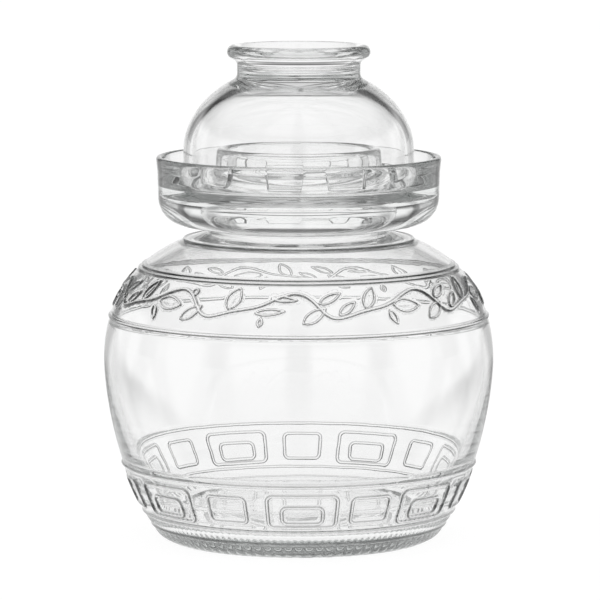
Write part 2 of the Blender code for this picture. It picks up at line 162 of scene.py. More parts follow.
# Leaves wider than this have a vein, along a part of their length
VEINED_WIDTH = 0.0055
VEIN_START = 0.15
VEIN_END = 0.7
VEIN_LINE = LEAF_LINE * 0.7
VEIN_RISE = LEAF_RISE * 0.5
# Leaves of a wave: degrees after its crest, start above the stem's middle line, slant, length and width
PLAIN_LEAVES = (
    (3.0, -0.0110, 36.0, 0.0155, 0.0062), (8.2, 0.0014, 28.0, 0.0146, 0.0046),
    (14.2, -0.0058, 38.0, 0.0126, 0.0044), (22.9, -0.0022, 61.0, 0.0155, 0.0065),
    (32.9, -0.0013, -4.0, 0.0175, 0.0080), (30.9, -0.0046, -68.0, 0.0087, 0.0036))
CURLED_LEAVES = (
    (3.0, -0.0110, 36.0, 0.0150, 0.0056), (19.0, -0.0026, 70.0, 0.0146, 0.0085),
    (28.2, -0.0048, 5.0, 0.0164, 0.0036), (32.9, 0.0048, -4.0, 0.0150, 0.0030),
    (29.5, -0.0130, 79.0, 0.0050, 0.0026))
# The waves that have a curl, and the curl's degrees after the crest, height and radius
CURLED_WAVES = (3, 8)
CURL = (5.3, 0.0069, 0.0020)

# Nubs that roughen the ring which the jar stands on, and the shorter ones above it
NUB_COUNT = 88
NUB_RISE = 0.0012
NUB_BLUNTNESS = 0.7
HATCH_COUNT = 144
HATCH_RISE = 0.0005

# Lid
LID_WALL = 0.0053
LID_SKIRT = 0.0203
LID_RISE = 0.0523
LID_CROWN = 0.0040
HOLLOW_FULLNESS = 0.955
DOME_BASE = LID_RIM + LID_SKIRT
GRIP_NECK_RADIUS = 0.0371
GRIP_BEAD_RADIUS = 0.0043
GRIP_RADIUS = 0.0431
GRIP_WALL = 0.0050
GRIP_FILLET = 0.0040
ROLL_DEGREES = (150.0, -72.0)
DOME_CLEAR_DEGREES = 7.0
RIM_ROUNDING = LID_WALL * 0.35
CUP_DEPTH = 0.0155
CUP_FLOOR = GRIP_TOP - CUP_DEPTH
CUP_FILLET = 0.0045
NOTCH_HEIGHT = 0.0090
NOTCH_EDGE = math.radians(0.8)
NOTCH_REPEATS = 5
NOTCH_START = math.radians(-37.3)
WIDE_NOTCH = math.radians(21.6)
WIDE_TOOTH = math.radians(17.9)
NARROW_NOTCH = math.radians(12.5)

# Fineness of the meshes
JAR_STEPS = 128
BAND_CUTS = 3
FOOT_CUTS = 2
LID_STEPS = 288
BAND_STEP = 0.0014
LINE_MARGIN = 0.0004
RING_MARGIN = 0.0004
LAND_EDGE = 0.0002
PLAIN_STEP = 0.0048
LINING_STEP = 0.004
FINE_STEP = 0.0015
BEAD_STEP = 0.0009
RIM_STEP = 0.0007
DOME_PLACES = 18
HOLLOW_PLACES = 24
LONGEST_SIDE = 2.5
FILLET_SHARE = 0.49
FLOOR_SIDES = 96
CURVE_STEPS = 400
LEAF_MARGIN = 0.004
TURN_STEP = 0.01
MERGE_DISTANCE = 1e-7

# Camera, fitted to the photograph's edges
CAMERA_DISTANCE = 2.600
CAMERA_HEIGHT = 0.4545
AIM_HEIGHT = 0.1435
METRES_PER_PIXEL = 0.000604
IMAGE_WIDTH = 600
AXIS_COLUMN = 298.7
SENSOR_WIDTH = 36.0

# Glass
REFRACTIVE_INDEX = 1.51
TINT = "#C4CCC9"
TINT_DENSITY = 3.0
RIPPLE_SCALE = 55.0
RIPPLE_DETAIL = 1.5
JAR_RIPPLE = 0.00004
LID_RIPPLE = 0.00002
# Colour of the painted shade on the slopes of the jar's raised lines
FLANK_PAINTED_SHADE = "#545454"
# Painted shade on the slopes of the raised lines, for light that they bend away from the eye. What an upper
# slope loses of that painted shade, as if lit from above, and where the shade lies: half widths from the
# line's middle as a share of the reach, and the share of the painted shade there
UPPER_FLANK_SHADE_LOSS = 0.35
FLANK_SHADE_REACH = 2.0
FLANK_SHADE_STOPS = ((0.0, 0.0), (0.15, 0.0), (0.26, 1.0), (0.42, 1.0), (0.55, 0.0), (1.0, 0.0))

# Studio. Windows and cards go round the set in waves. A wave is grey below its first edge, and white
# above its second one
FLOOR_REACH = 14.0
WINDOWS = 7.0
WINDOW_EDGE = (-0.9, -0.3)
BETWEEN_WINDOWS = 0.35
CARD_WAVES = 5.0
CARD_EDGE = (-0.35, 0.35)
BETWEEN_CARDS = 0.12
# Bounces inside glass after which light meets the cards
BOUNCES = 2.5
# Greys of the backdrop and of the cards, from straight down (0) to straight up (1)
BACKDROP = ((0.0, 1.0), (0.63, 1.0), (0.69, 0.12), (0.75, 0.12), (0.84, 0.60), (1.0, 0.75))
CARDS = ((0.0, 0.02), (0.40, 0.02), (0.52, 0.08), (0.60, 0.32), (0.66, 0.80), (0.90, 0.65), (1.0, 0.9))
# Grey of the floor for light that has bounced inside glass, by distance from the axis in metres
UNDER = ((0.0, 0.85), (0.12, 0.85), (0.18, 0.02), (0.42, 0.02), (0.70, 0.30), (1.0, 0.30))
# The floor's own glow, its glow through glass, its matt grey, and how the windows fall on it far out
FLOOR_GLOW = 0.94
FLOOR_THROUGH_GLASS = 0.88
FLOOR_MATT = 0.10
FLOOR_WINDOWS_FROM = 0.2
FLOOR_WINDOWS_TO = 0.5
FLOOR_WINDOWS_SHARE = 0.6


# Curves: each gives a list of (radius, height) places

def bezier(start, pull_start, pull_end, end, count):
    places = []
    for t in np.linspace(0.0, 1.0, count + 1):
        s = 1.0 - t
        weights = (s ** 3, 3 * s * s * t, 3 * s * t * t, t ** 3)
        places.append(tuple(sum(w * c[i] for w, c in zip(weights, (start, pull_start, pull_end, end)))
                            for i in (0, 1)))
    return places


def arc(centre, radius, start_degrees, end_degrees, step):
    span = math.radians(abs(end_degrees - start_degrees)) * radius
    angles = np.radians(np.linspace(start_degrees, end_degrees, max(3, math.ceil(span / step)) + 1))
    return [(centre[0] + radius * math.cos(a), centre[1] + radius * math.sin(a)) for a in angles]


def rounded(corners, step):
    """Straight sides between (radius, height, fillet) corners, with a point about every step."""
    places = [corners[0][:2]]
    for before, corner, after in zip(corners, corners[1:], corners[2:]):
        here = Vector(corner[:2])
        back = Vector(before[:2]) - here
        forward = Vector(after[:2]) - here
        half_turn = back.angle(forward) / 2
        if corner[2] <= 0.0:
            places.append(tuple(here))
            continue
        longest = min(back.length, forward.length) * FILLET_SHARE
        run = min(corner[2] / math.tan(half_turn), longest)
        radius = run * math.tan(half_turn)
        middle = here + (back.normalized() + forward.normalized()).normalized() * math.hypot(run, radius)
        first = here + back.normalized() * run - middle
        last = here + forward.normalized() * run - middle
        sweep = -first.angle_signed(last)
        count = max(4, math.ceil(abs(sweep) * radius / step))
        for angle in np.linspace(0.0, sweep, count + 1):
            places.append((middle.x + first.x * math.cos(angle) - first.y * math.sin(angle),
                           middle.y + first.x * math.sin(angle) + first.y * math.cos(angle)))
    places.append(corners[-1][:2])
    return filled(places, step * LONGEST_SIDE)


def filled(places, step):
    """The same line with more points on its long stretches."""
    line = [places[0]]
    for start, end in zip(places, places[1:]):
        length = math.dist(start, end)
        for share in np.linspace(0.0, 1.0, max(1, round(length / step)) + 1)[1:]:
            line.append((start[0] + (end[0] - start[0]) * share, start[1] + (end[1] - start[1]) * share))
    return line


# The jar's outside, as a table of a fine run down it

SHOULDER = bezier((SHOULDER_RADIUS, SHOULDER_TOP),
                  (SHOULDER_RADIUS + SHOULDER_SWEEP[0], SHOULDER_TOP - SHOULDER_SWEEP[1]),
                  (BELLY_RADIUS, BELLY_HEIGHT + BELLY_PULL_UP), (BELLY_RADIUS, BELLY_HEIGHT), CURVE_STEPS)
BELLY = bezier((BELLY_RADIUS, BELLY_HEIGHT), (BELLY_RADIUS, BELLY_HEIGHT - BELLY_PULL_DOWN),
               (FOOT_RADIUS + FOOT_FLARE[0], FOOT_FLARE[1]), (FOOT_RADIUS, 0.0), CURVE_STEPS)
OUTSIDE = np.array(SHOULDER + BELLY[1:])
RUN = np.concatenate([[0.0], np.cumsum(np.hypot(*np.diff(OUTSIDE, axis=0).T))])
SLOPE = np.gradient(OUTSIDE, axis=0)
NORMAL = np.stack([-SLOPE[:, 1], SLOPE[:, 0]], axis=1) / np.hypot(*SLOPE.T)[:, None]


def at_height(height):
    """Distance down the outside at a height."""
    return np.interp(-np.asarray(height), -OUTSIDE[:, 1], RUN)


def outside_at(distance):
    """Radius and height of the outside at a distance down it."""
    return np.interp(distance, RUN, OUTSIDE[:, 0]), np.interp(distance, RUN, OUTSIDE[:, 1])


def normal_at(distance):
    return np.interp(distance, RUN, NORMAL[:, 0]), np.interp(distance, RUN, NORMAL[:, 1])


# Ornament, for arrays of turn and distance down the outside

def ridge(distance, half_width):
    """A round ridge, 1 along its middle and 0 at its edges."""
    return np.maximum(1.0 - (distance / half_width) ** 2, 0.0)


def around(turn, centre):
    """Turn from a centre, between minus and plus half a circle."""
    return (turn - centre + math.pi) % math.tau - math.pi


def frame_distance(across, along, size):
    """Distance from the line of a rounded oblong. Across is sideways, along is down the outside."""
    top, bottom = at_height(size["high"]), at_height(size["low"])
    dx = np.abs(across) - (size["width"] / 2 - size["corner"])
    dy = np.abs(along - (top + bottom) / 2) - ((bottom - top) / 2 - size["corner"])
    edge = np.hypot(np.maximum(dx, 0.0), np.maximum(dy, 0.0)) + np.minimum(np.maximum(dx, dy), 0.0)
    return np.abs(edge - size["corner"])


def lower_band(turn, along):
    """Distance from the nearest frame's line."""
    nearest = np.full_like(turn, FAR)
    radius = outside_at(at_height((LARGE_FRAME["low"] + LARGE_FRAME["high"]) / 2))[0]
    for first, following in zip(FRAME_TURNS, (*FRAME_TURNS[1:], FRAME_TURNS[0] + 360.0)):
        across = around(turn, math.radians(first)) * radius
        nearest = np.minimum(nearest, frame_distance(across, along, LARGE_FRAME))
        nearest = np.minimum(nearest, frame_distance(across, along, INNER_FRAME))
        across = around(turn, math.radians(first + following) / 2) * radius
        nearest = np.minimum(nearest, frame_distance(across, along, SMALL_FRAME))
    return nearest


def stem_table():
    """The vine's stem all round the jar: turns in degrees, and heights above the band's middle line."""
    ends = (*VINE_CRESTS[1:], VINE_CRESTS[0] + 360.0)
    knots = np.array([(first + (last - first) * share, swing * VINE_SWING)
                      for first, last in zip(VINE_CRESTS, ends) for share, swing in STEM_KNOTS])
    turns = np.arange(0.0, 360.0, STEM_STEP)
    heights = np.interp(turns, knots[:, 0], knots[:, 1], period=360.0)
    reach = np.arange(-4 * STEM_SMOOTHING, 4 * STEM_SMOOTHING + STEM_STEP, STEM_STEP)
    weights = np.exp(-(reach / STEM_SMOOTHING) ** 2)
    padded = np.concatenate([heights[-len(reach) // 2:], heights, heights[:len(reach) // 2]])
    smooth = np.convolve(padded, weights / weights.sum(), mode="same")[len(reach) // 2 + 1:][:len(turns)]
    return turns, smooth


STEM_TURNS, STEM_HEIGHTS = stem_table()


def stem_height(turn):
    return np.interp(np.degrees(turn) % 360.0, STEM_TURNS, STEM_HEIGHTS, period=360.0)


def leaf_distances(across, along, length, width):
    """Distances from a pointed leaf's outline and from its vein. Across runs from its base to its tip."""
    share = np.clip(across / length, 0.0, 1.0)
    half = width / 2 * np.sin(math.pi * share ** LEAF_TAPER) ** LEAF_BLUNTNESS
    beyond = across - np.clip(across, 0.0, length)
    edge = np.hypot(np.maximum(np.abs(along) - half, 0.0), beyond)
    inside = (np.abs(along) < half) & (beyond == 0.0)
    veined = (share > VEIN_START) & (share < VEIN_END) & (beyond == 0.0) & (width > VEINED_WIDTH)
    return np.where(inside, half - np.abs(along), edge), np.where(veined, np.abs(along), FAR)


def upper_band(turn, along):
    """Distances from the vine's stem, from the nearest leaf's outline and from the nearest vein."""
    middle = (at_height(VINE_BAND_TOP) + at_height(VINE_BAND_BOTTOM)) / 2 - VINE_LIFT
    radius = outside_at(middle)[0]
    up = middle - along
    steep = (stem_height(turn + TURN_STEP) - stem_height(turn - TURN_STEP)) / (2 * TURN_STEP * radius)
    stem = np.abs(up - stem_height(turn)) / np.hypot(1.0, steep)
    leaf = np.full_like(turn, FAR)
    vein = np.full_like(turn, FAR)
    for wave, crest in enumerate(VINE_CRESTS):
        curled = wave in CURLED_WAVES
        for after, start, degrees, length, width in CURLED_LEAVES if curled else PLAIN_LEAVES:
            x = around(turn, math.radians(crest + after)) * radius
            y = up - start
            c, s = math.cos(math.radians(degrees)), math.sin(math.radians(degrees))
            near = (np.abs(x) < length + LEAF_MARGIN) & (np.abs(y) < length + LEAF_MARGIN)
            edge, middle_line = leaf_distances((x * c + y * s)[near], (y * c - x * s)[near], length, width)
            leaf[near] = np.minimum(leaf[near], edge)
            vein[near] = np.minimum(vein[near], middle_line)
        if curled:
            x = around(turn, math.radians(crest + CURL[0])) * radius
            leaf = np.minimum(leaf, np.abs(np.hypot(x, up - CURL[1]) - CURL[2]))
    return stem, leaf, vein


def nubs(turn, along):
    """Height of two rows of small nubs: short ones above the foot, and long ones round it."""
    top, seam, bottom = at_height(FRAME_BAND_BOTTOM), at_height(ROPE_TOP), RUN[-1]
    high = np.clip((along - top - LINE_HALF_WIDTH) / (seam - top - 2 * LINE_HALF_WIDTH), 0.0, 1.0)
    low = np.clip((along - seam - LINE_HALF_WIDTH) / (bottom - seam - 2 * LINE_HALF_WIDTH), 0.0, 1.0)
    hatch = np.sin(high * math.pi) * np.cos(turn * HATCH_COUNT / 2) ** 2 * HATCH_RISE
    nub = np.sin(low * math.pi) ** NUB_BLUNTNESS * np.abs(np.cos(turn * NUB_COUNT / 2)) * NUB_RISE
    return np.maximum(hatch, nub)


def ornament(turn, along):
    """Height of all the raised work at places on the jar's outside."""
    parting = ridge(along - at_height(PARTING_LINE), LINE_HALF_WIDTH) * PARTING_RISE
    height = np.maximum(nubs(turn, along), parting)
    for level, half_width, rise in RINGS:
        height = np.maximum(height, ridge(along - at_height(level), half_width) * rise)
    height = np.maximum(height, ridge(lower_band(turn, along), LINE_HALF_WIDTH) * LINE_RISE)
    stem, leaf, vein = upper_band(turn, along)
    height = np.maximum(height, ridge(stem, LINE_HALF_WIDTH) * STEM_RISE)
    height = np.maximum(height, ridge(leaf, LEAF_LINE) * LEAF_RISE)
    return np.maximum(height, ridge(vein, VEIN_LINE) * VEIN_RISE)


def line_distance(turn, along):
    """Distance from the nearest ring, frame or part of the vine, in half widths of its line."""
    nearest = lower_band(turn, along) / LINE_HALF_WIDTH
    for level, half_width, _ in RINGS:
        nearest = np.minimum(nearest, np.abs(along - at_height(level)) / half_width)
    stem, leaf, _ = upper_band(turn, along)
    return np.minimum(np.minimum(nearest, PLAIN), np.minimum(stem / LINE_HALF_WIDTH, leaf / LEAF_LINE))


def lean(turn, along):
    """1 where a ridge falls away downwards, -1 where it falls away upwards, and 0 on its sides."""
    rise = line_distance(turn, along + LEAN_STEP) - line_distance(turn, along - LEAN_STEP)
    return np.clip(rise * LINE_HALF_WIDTH / (2 * LEAN_STEP), -1.0, 1.0)


# The jar's outline

def rows_down_the_outside():
    """Distances down the outside: close together in the bands and about each ring."""
    fine = [(at_height(VINE_BAND_TOP), at_height(VINE_BAND_BOTTOM)),
            (at_height(FRAME_BAND_TOP), RUN[-1])]
    rings = [(at_height(level), half_width) for level, half_width, _ in RINGS]
    rows = []
    for start, end in zip([0.0, *(edge for band in fine for edge in band)],
                          [*(edge for band in fine for edge in band), RUN[-1]]):
        if end - start < MERGE_DISTANCE:
            continue
        in_band = any(low <= (start + end) / 2 <= high for low, high in fine)
        count = max(1, round((end - start) / (BAND_STEP if in_band else PLAIN_STEP)))
        rows += list(np.linspace(start, end, count + 1)[:-1])
    rows.append(RUN[-1])
    rows = [row for row in rows if row in (0.0, RUN[-1])
            or min(abs(row - ring) - half_width for ring, half_width in rings) > RING_MARGIN]
    for ring, half_width in rings:
        rows += [ring + half_width * share for share in (-1.0, -0.5, 0.0, 0.5, 1.0)]
    return sorted(rows)


def inner_wall():
    """The lining of the belly, from the floor up."""
    lining = []
    for distance in np.arange(LINING_STEP, RUN[-1], PLAIN_STEP):
        radius, height = outside_at(distance)
        across, up = normal_at(distance)
        depth = max(0.0, BELLY_HEIGHT - height) / BELLY_HEIGHT
        wall = WALL + (HEEL_WALL - WALL) * depth ** WALL_FALL_OFF
        lining.append((radius - across * wall, height - up * wall))
    return [place for place in reversed(lining) if place[1] > PUSH_UP + FLOOR_THICKNESS + HEEL_CLEAR]


def jar_outline():
    """From the middle of the base's inside up the lining, over the mouth, and down to the middle below."""
    lining = inner_wall()
    floor = PUSH_UP + FLOOR_THICKNESS
    heel = rounded([(0.0, floor, 0.0), (lining[0][0] - HEEL_INSET, floor, HEEL_FILLET),
                    (*lining[0], 0.0)], LINING_STEP)
    throat = rounded([
        (*lining[-1], 0.0), (THROAT_RADIUS, SHOULDER_TOP - WALL, THROAT_FILLET),
        (THROAT_RADIUS, MOAT_UNDERSIDE, GALLERY_FILLET / 2),
        (GALLERY_RADIUS, MOAT_UNDERSIDE + WALL, GALLERY_FILLET),
        (GALLERY_RADIUS, GALLERY_ROOF, GALLERY_FILLET),
        (BORE_RADIUS, GALLERY_ROOF + GALLERY_ROOF_RISE, GALLERY_FILLET),
        (BORE_RADIUS, (GALLERY_ROOF + COLLAR_TOP) / 2, 0.0)], FINE_STEP)
    channel = rounded([
        (BORE_RADIUS, (GALLERY_ROOF + COLLAR_TOP) / 2, 0.0),
        (BORE_RADIUS, COLLAR_TOP, COLLAR_WALL * LIP_ROUNDING),
        (BORE_RADIUS + COLLAR_WALL, COLLAR_TOP, COLLAR_WALL * LIP_ROUNDING),
        (BORE_RADIUS + COLLAR_WALL + COLLAR_DRAFT, CHANNEL_FLOOR, CHANNEL_FILLET),
        (CHANNEL_RADIUS, CHANNEL_FLOOR, CHANNEL_FILLET),
        (MOAT_RADIUS - MOAT_LIP, MOAT_TOP, MOAT_LIP * LIP_ROUNDING),
        (MOAT_RADIUS, MOAT_TOP, MOAT_LIP * LIP_ROUNDING),
        (MOAT_RADIUS - MOAT_DRAFT / 2, (MOAT_TOP + CHANNEL_FLOOR) / 2, 0.0)], FINE_STEP * 0.7)
    bowl = rounded([
        (MOAT_RADIUS - MOAT_DRAFT / 2, (MOAT_TOP + CHANNEL_FLOOR) / 2, 0.0),
        (MOAT_RADIUS - MOAT_DRAFT, MOAT_UNDERSIDE, MOAT_SWEEP_RADIUS),
        (NECK_RADIUS + ROOT_EDGE * 0.75, MOAT_ROOT, ROOT_EDGE),
        (NECK_RADIUS, MOAT_ROOT - ROOT_EDGE * 1.5, 0.0),
        (NECK_RADIUS, SHOULDER_TOP + NECK_FILLET / 2, NECK_FILLET),
        (SHOULDER_RADIUS, SHOULDER_TOP, 0.0)], FINE_STEP * 1.4)
    outside = [tuple(float(v) for v in outside_at(row)) for row in rows_down_the_outside()]
    land = FOOT_RADIUS - FOOT_LAND
    underside = filled([(land, 0.0), (land - PUSH_UP_SLOPE, PUSH_UP), (0.0, PUSH_UP)], PLAIN_STEP)
    return heel[:-1] + lining[:-1] + throat[:-1] + channel[:-1] + bowl[:-1] + outside + underside


# Making a piece

def turned(outline, steps):
    """A closed shape: an outline that starts and ends on the axis, turned round it."""
    shape = bmesh.new()
    turns = [math.tau * step / steps for step in range(steps)]
    rings = [[shape.verts.new((radius * math.cos(turn), radius * math.sin(turn), height)) for turn in turns]
             for radius, height in outline[1:-1]]
    for ring, following in zip(rings, rings[1:]):
        for step in range(steps):
            shape.faces.new((ring[step - 1], following[step - 1], following[step], ring[step]))
    for ring, (_, height) in ((rings[0], outline[0]), (rings[-1], outline[-1])):
        pole = shape.verts.new((0.0, 0.0, height))
        for step in range(steps):
            shape.faces.new((pole, ring[step - 1], ring[step]))
    bmesh.ops.remove_doubles(shape, verts=shape.verts, dist=MERGE_DISTANCE)
    bmesh.ops.recalc_face_normals(shape, faces=shape.faces)
    return shape


def finish_piece(name, shape, material, body, node):
    """Makes the piece, hides the solid it stands for, and hangs it on the body it moves with."""
    mesh = bpy.data.meshes.new(name)
    shape.to_mesh(mesh)
    shape.free()
    mesh.shade_smooth()
    mesh.materials.append(material)
    piece = bpy.data.objects.new(name, mesh)
    bpy.context.scene.collection.objects.link(piece)
    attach(piece, body)
    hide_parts(node)


# The jar's ornament on its mesh

def on_the_outside(place):
    """True on the body's outer skin, between the standing ring and the neck."""
    if not LAND_EDGE < place.z < SHOULDER_TOP:
        return False
    return math.hypot(place.x, place.y) > outside_at(at_height(place.z))[0] - WALL / 2


def turn_and_run(places):
    """Turn from the front, and distance down the outside, of places near the jar's outside."""
    places = np.array(places)
    return np.arctan2(places[:, 0], -places[:, 1]), at_height(places[:, 2])


def refine_bands(shape):
    """Adds steps round the jar where it is ornamented, and halves each face that a line crosses."""
    bands = ((VINE_BAND_BOTTOM, VINE_BAND_TOP, BAND_CUTS),
             (FRAME_BAND_BOTTOM, FRAME_BAND_TOP, BAND_CUTS),
             (0.0, FRAME_BAND_BOTTOM - LINE_HALF_WIDTH / 2, BAND_CUTS + FOOT_CUTS))
    for low, high, cuts in bands:
        edges = []
        for edge in shape.edges:
            first, last = (vert.co for vert in edge.verts)
            level = abs(first.z - last.z) < MERGE_DISTANCE
            if level and low < first.z < high and on_the_outside(first):
                edges.append(edge)
        bmesh.ops.subdivide_edges(shape, edges=edges, cuts=cuts, use_grid_fill=True)
    banded = [face for face in shape.faces if all(on_the_outside(vert.co) for vert in face.verts)]
    turn, along = turn_and_run([face.calc_center_median() for face in banded])
    stem, leaf, vein = upper_band(turn, along)
    lined = np.minimum(stem, lower_band(turn, along)) < LINE_HALF_WIDTH + LINE_MARGIN
    lined |= np.minimum(leaf, vein) < LEAF_LINE + LINE_MARGIN
    edges = dict.fromkeys(edge for face, crossed in zip(banded, lined) if crossed for edge in face.edges)
    bmesh.ops.subdivide_edges(shape, edges=list(edges), cuts=1, use_grid_fill=True)


def press_ornament(shape):
    """Raises the ornament out of the jar's outside, and marks how near each place is to a line and which
    way the line falls away there, marks that the glass uses for painted shade on the lines' slopes.
    """
    line_layer = shape.verts.layers.float.new("line_distance")
    lean_layer = shape.verts.layers.float.new("lean")
    for vert in shape.verts:
        vert[line_layer] = PLAIN
    chosen = [vert for vert in shape.verts if on_the_outside(vert.co)]
    turn, along = turn_and_run([vert.co for vert in chosen])
    rise = ornament(turn, along)
    radius, height = outside_at(along)
    across, up = normal_at(along)
    radius = radius + across * rise
    height = height + up * rise
    places = zip(radius * np.sin(turn), -radius * np.cos(turn), height)
    for vert, place, line, slant in zip(chosen, places, line_distance(turn, along), lean(turn, along)):
        vert.co = place
        vert[line_layer] = line
        vert[lean_layer] = slant


# The lid's outline and its notches

def lid_outline():
    """From the middle of the cup's floor over the bead and down to the rim, and up the hollow."""
    bead = (GRIP_RADIUS - GRIP_BEAD_RADIUS, GRIP_TOP - GRIP_BEAD_RADIUS)
    cup_radius = GRIP_NECK_RADIUS - GRIP_WALL
    cup = rounded([(0.0, CUP_FLOOR, 0.0), (cup_radius, CUP_FLOOR, CUP_FILLET),
                   (cup_radius, bead[1] - GRIP_BEAD_RADIUS * 0.6, GRIP_BEAD_RADIUS),
                   (bead[0] - GRIP_BEAD_RADIUS * 0.87, bead[1] + GRIP_BEAD_RADIUS * 0.5, 0.0)], FINE_STEP)
    roll = arc(bead, GRIP_BEAD_RADIUS, *ROLL_DEGREES, BEAD_STEP)
    neck_degrees = math.degrees(math.acos(GRIP_NECK_RADIUS / LID_RADIUS))
    start = neck_degrees - DOME_CLEAR_DEGREES
    foot = DOME_BASE + LID_RISE * math.sin(math.radians(neck_degrees))
    dome = [(LID_RADIUS * math.cos(a), DOME_BASE + LID_RISE * math.sin(a))
            for a in np.radians(np.linspace(start, 0.0, DOME_PLACES))]
    neck = rounded([(*roll[-1], 0.0), (GRIP_NECK_RADIUS, bead[1] - GRIP_BEAD_RADIUS * 1.4, GRIP_FILLET),
                    (GRIP_NECK_RADIUS, foot, GRIP_FILLET), (*dome[0], 0.0)], FINE_STEP)
    rim = rounded([(*dome[-1], 0.0), (LID_RADIUS, LID_RIM, RIM_ROUNDING),
                   (LID_RADIUS - LID_WALL, LID_RIM, RIM_ROUNDING),
                   (LID_RADIUS - LID_WALL, DOME_BASE, 0.0)], RIM_STEP)
    rise = CUP_FLOOR - LID_CROWN - DOME_BASE
    hollow = [((LID_RADIUS - LID_WALL) * math.cos(a) ** HOLLOW_FULLNESS,
               DOME_BASE + rise * math.sin(a) ** HOLLOW_FULLNESS)
              for a in np.radians(np.linspace(0.0, 90.0, HOLLOW_PLACES))]
    hollow[-1] = (0.0, DOME_BASE + rise)
    return cup[:-1] + roll[:-1] + neck[:-1] + dome[:-1] + rim[:-1] + hollow


def notch_depth(turn):
    """1 over a notch of the lid's rim and 0 over a tooth, with a soft step between."""
    depth = 0.0
    for index in range(NOTCH_REPEATS):
        start = NOTCH_START + index * math.tau / NOTCH_REPEATS
        narrow = start + WIDE_NOTCH + WIDE_TOOTH
        for first, width in ((start, WIDE_NOTCH), (narrow, NARROW_NOTCH)):
            beyond = abs(around(turn, first + width / 2)) - width / 2
            share = min(1.0, max(0.0, 0.5 - beyond / NOTCH_EDGE))
            depth = max(depth, share * share * (3 - 2 * share))
    return depth


def cut_notches(shape):
    """Draws the lid's rim up at each notch, squeezing the skirt above it."""
    for vert in shape.verts:
        if vert.co.z < DOME_BASE and math.hypot(vert.co.x, vert.co.y) > LID_RADIUS - 2 * LID_WALL:
            lift = NOTCH_HEIGHT * notch_depth(math.atan2(vert.co.x, -vert.co.y))
            vert.co.z += lift * (DOME_BASE - vert.co.z) / (DOME_BASE - LID_RIM)


# Material

def linear(code):
    """An sRGB hex colour as linear red, green, blue and alpha."""
    channels = [int(code[i:i + 2], 16) / 255 for i in (1, 3, 5)]
    return (*((c / 12.92 if c <= 0.04045 else ((c + 0.055) / 1.055) ** 2.4) for c in channels), 1.0)


def add_node(tree, kind, settings=None, inputs=None):
    """Adds a node; a setting is an attribute, an input is a value or another node's socket."""
    node = tree.nodes.new(kind)
    for name, value in (settings or {}).items():
        setattr(node, name, value)
    for name, value in (inputs or {}).items():
        if isinstance(value, bpy.types.NodeSocket):
            tree.links.new(value, node.inputs[name])
        else:
            node.inputs[name].default_value = value
    return node


def grey_ramp(tree, level, stops):
    """A grey that follows (place, grey) stops as the level goes from 0 to 1."""
    ramp = add_node(tree, "ShaderNodeValToRGB", inputs={"Fac": level})
    elements = ramp.color_ramp.elements
    elements[0].position, elements[1].position = 0.0, 1.0
    for place, _ in stops[1:-1]:
        elements.new(place)
    for element, (place, grey) in zip(elements, stops):
        element.position = place
        element.color = (grey, grey, grey, 1.0)
    return ramp.outputs["Color"]


def soda_lime_glass(name, ripple_depth):
    """Clear soda-lime glass from an iron mould: bright skin, a faint orange-peel ripple and hardly any
    tint. Painted shade greys the slopes of its raised lines, for light that they bend away from the eye,
    and the slopes that face up get a little less of it, as if lit from above. The lid carries no such
    lines, so it has none of that painted shade."""
    material = bpy.data.materials.new(name)
    material.use_nodes = True
    tree = material.node_tree
    shader = tree.nodes["Principled BSDF"]
    line = add_node(tree, "ShaderNodeAttribute", {"attribute_name": "line_distance"}).outputs["Fac"]
    slant = add_node(tree, "ShaderNodeAttribute", {"attribute_name": "lean"}).outputs["Fac"]
    level = add_node(tree, "ShaderNodeMath", {"operation": "MULTIPLY"},
                     {0: line, 1: 1 / FLANK_SHADE_REACH}).outputs[0]
    weight = add_node(tree, "ShaderNodeMath", {"operation": "MULTIPLY_ADD", "use_clamp": True},
                      {0: slant, 1: UPPER_FLANK_SHADE_LOSS, 2: 1.0}).outputs[0]
    painted_shade_share = add_node(tree, "ShaderNodeMath", {"operation": "MULTIPLY"},
                    {0: grey_ramp(tree, level, FLANK_SHADE_STOPS), 1: weight}).outputs[0]
    # Base colour with painted shade mixed in on the slopes of the raised lines
    skin = add_node(tree, "ShaderNodeMix", {"data_type": "RGBA"},
                    {0: painted_shade_share, 6: linear("#FFFFFF"), 7: linear(FLANK_PAINTED_SHADE)}).outputs[2]
    tree.links.new(skin, shader.inputs["Base Color"])
    shader.inputs["Transmission Weight"].default_value = 1.0
    shader.inputs["IOR"].default_value = REFRACTIVE_INDEX
    shader.inputs["Roughness"].default_value = 0.0
    place = add_node(tree, "ShaderNodeTexCoord").outputs["Object"]
    ripple = add_node(tree, "ShaderNodeTexNoise",
                      inputs={"Vector": place, "Scale": RIPPLE_SCALE, "Detail": RIPPLE_DETAIL})
    bump = add_node(tree, "ShaderNodeBump",
                    inputs={"Height": ripple.outputs["Fac"], "Distance": ripple_depth, "Strength": 1.0})
    tree.links.new(bump.outputs["Normal"], shader.inputs["Normal"])
    tint = add_node(tree, "ShaderNodeVolumeAbsorption",
                    inputs={"Color": linear(TINT), "Density": TINT_DENSITY})
    tree.links.new(tint.outputs["Volume"], tree.nodes["Material Output"].inputs["Volume"])
    return material


# Studio

def height_level(tree, parts):
    """0 straight down and 1 straight up, from the parts of a direction."""
    return add_node(tree, "ShaderNodeMath", {"operation": "MULTIPLY_ADD"},
                    {0: parts.outputs["Z"], 1: 0.5, 2: 0.5}).outputs[0]


